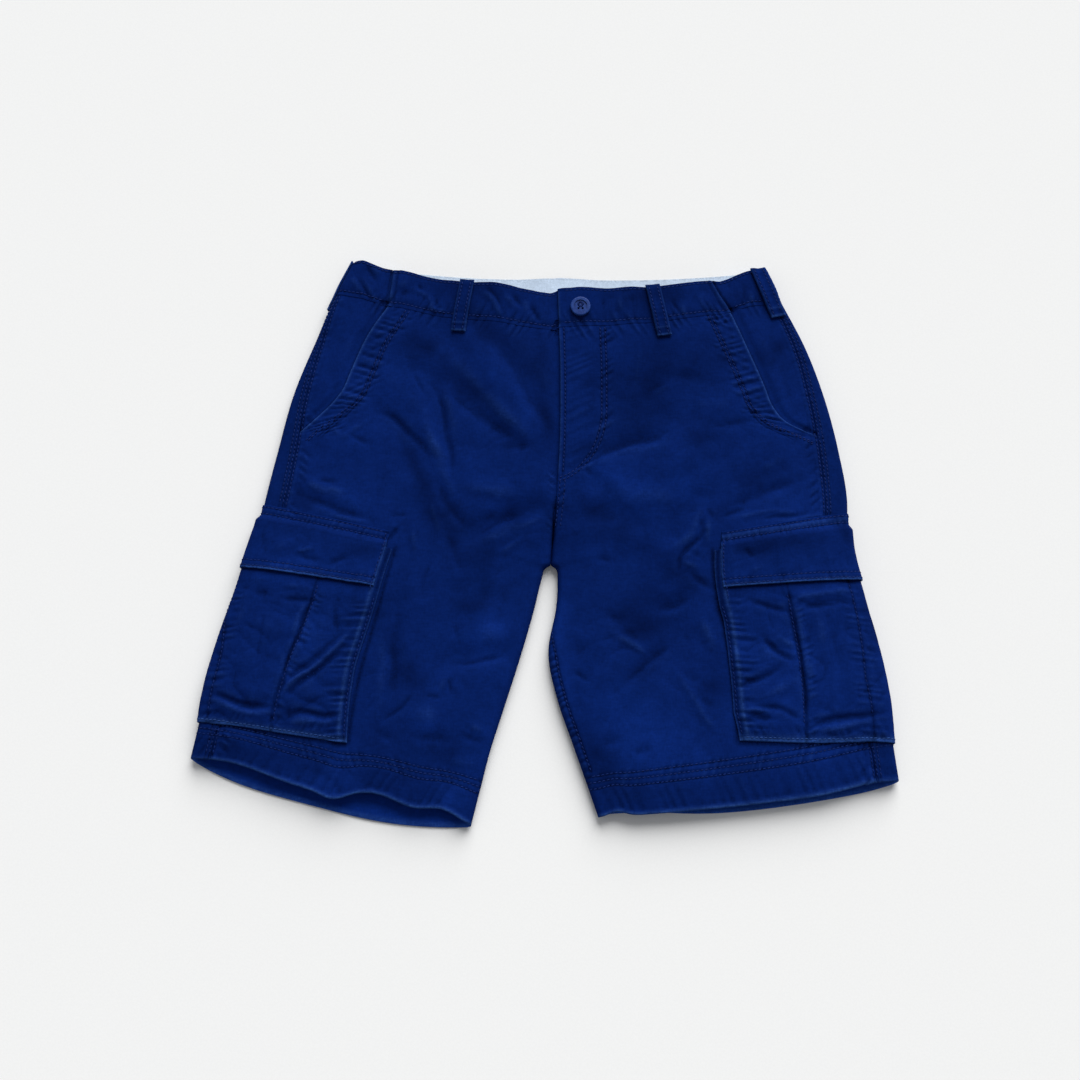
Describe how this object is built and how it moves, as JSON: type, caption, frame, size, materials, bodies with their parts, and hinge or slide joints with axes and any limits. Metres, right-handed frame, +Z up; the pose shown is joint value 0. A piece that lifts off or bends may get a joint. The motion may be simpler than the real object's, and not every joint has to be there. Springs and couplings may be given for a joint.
{
  "type": "cargo shorts",
  "caption": "Navy cotton twill cargo shorts laid flat, front up: belt loops, button waist with fly, slant hip pockets, flapped cargo pockets on the outer legs, legs spread.",
  "frame": {"origin": "centre of the laid-out garment in plan, on the surface it lies on", "axes": "+X across the garment towards the wearer's left leg (right-hand side when seen from above with the waist at the top), +Y towards the waist, +Z up out of the front of the garment"},
  "size_m": [0.5486, 0.462, 0.0262],
  "materials": {
    "front_cloth": "matt brushed cotton twill, navy, garment-washed",
    "hip_cloth": "matt brushed cotton twill, navy",
    "back_cloth": "matt brushed cotton twill, navy",
    "facing_cloth": "matt cotton twill, navy",
    "band_cloth": "matt cotton twill, navy, folded double",
    "pale_band": "plain pale blue cotton, matt",
    "loop_cloth": "matt cotton twill, navy, folded",
    "pocket_cloth": "matt brushed cotton twill, navy, worn lighter on its edges",
    "flap_cloth": "matt brushed cotton twill, navy, worn lighter on its edges",
    "button_plastic": "glossy mid-blue resin"
  },
  "bodies": {
    "root": {"back_left": "back_cloth", "back_right": "back_cloth", "belt_loop_back": "loop_cloth", "belt_loop_front_left": "loop_cloth", "belt_loop_front_right": "loop_cloth", "belt_loop_side_left": "loop_cloth", "belt_loop_side_right": "loop_cloth", "button": "button_plastic", "cargo_pocket_left": "pocket_cloth", "cargo_pocket_right": "pocket_cloth", "fly_facing": "facing_cloth", "front_left": "front_cloth", "front_right": "front_cloth", "hip_piece_left": "hip_cloth", "hip_piece_right": "hip_cloth", "pocket_flap_left": "flap_cloth", "pocket_flap_right": "flap_cloth", "waistband_back": "band_cloth", "waistband_front_left": "band_cloth", "waistband_front_right": "band_cloth", "waistband_inner": "pale_band"}
  },
  "joints": []
}
